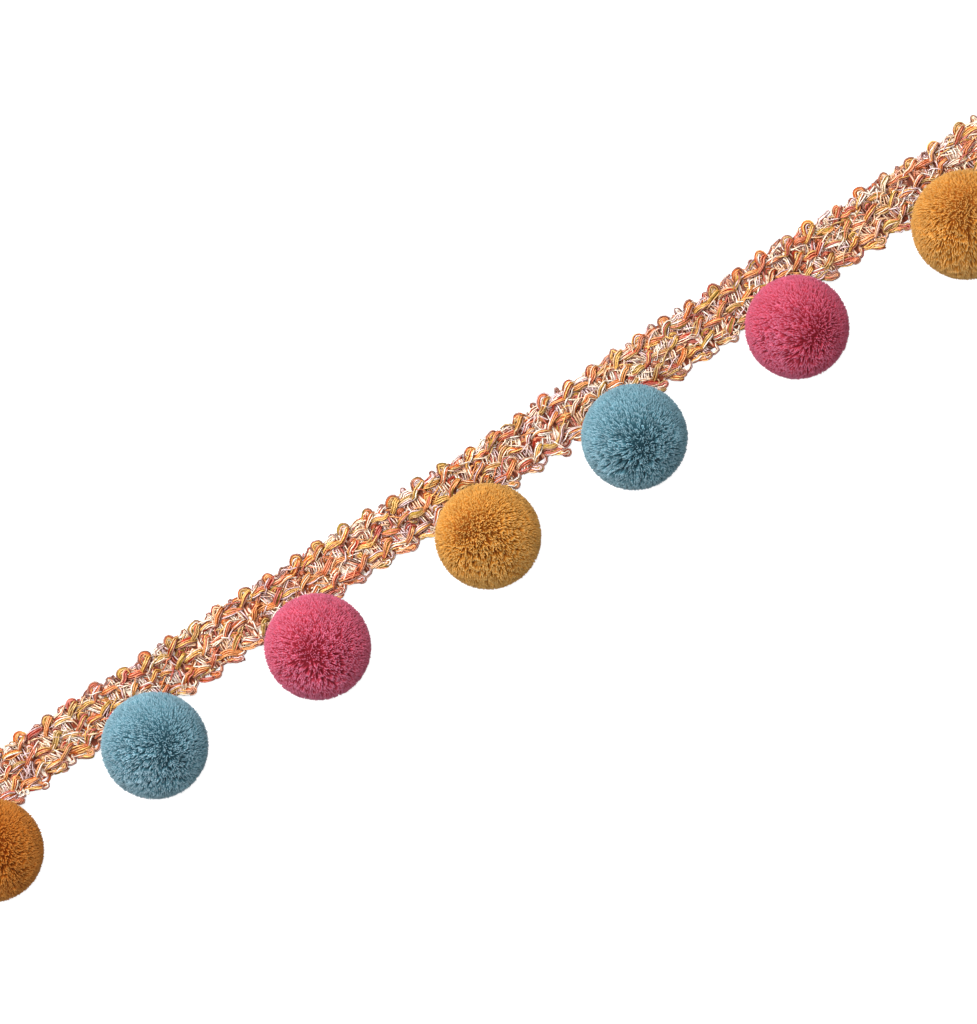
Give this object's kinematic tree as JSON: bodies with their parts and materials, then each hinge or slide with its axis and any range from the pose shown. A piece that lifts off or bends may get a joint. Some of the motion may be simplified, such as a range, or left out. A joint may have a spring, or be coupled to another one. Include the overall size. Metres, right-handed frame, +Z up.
{
  "type": "length of pompom trim",
  "caption": "Flat braided tape with looped edges and a row of round cut-pile pompoms along one side, lying straight and flat.",
  "frame": {"origin": "middle of the bounding box, on the surface that the trim lies on", "axes": "+X along the tape, +Y across it towards the edge away from the pompoms, +Z up from the surface"},
  "size_m": [0.31, 0.0341, 0.0245],
  "materials": {
    "braid_yarn": "matt multicoloured yarn, plaited",
    "mustard_pile": "matt cut pile",
    "blue_pile": "matt cut pile",
    "pink_pile": "matt cut pile"
  },
  "bodies": {
    "root": {"braid_tape": "braid_yarn", "pompom_1_mustard": "mustard_pile", "pompom_2_blue": "blue_pile", "pompom_3_pink": "pink_pile", "pompom_4_mustard": "mustard_pile", "pompom_5_blue": "blue_pile", "pompom_6_pink": "pink_pile", "pompom_7_mustard": "mustard_pile"}
  },
  "joints": []
}
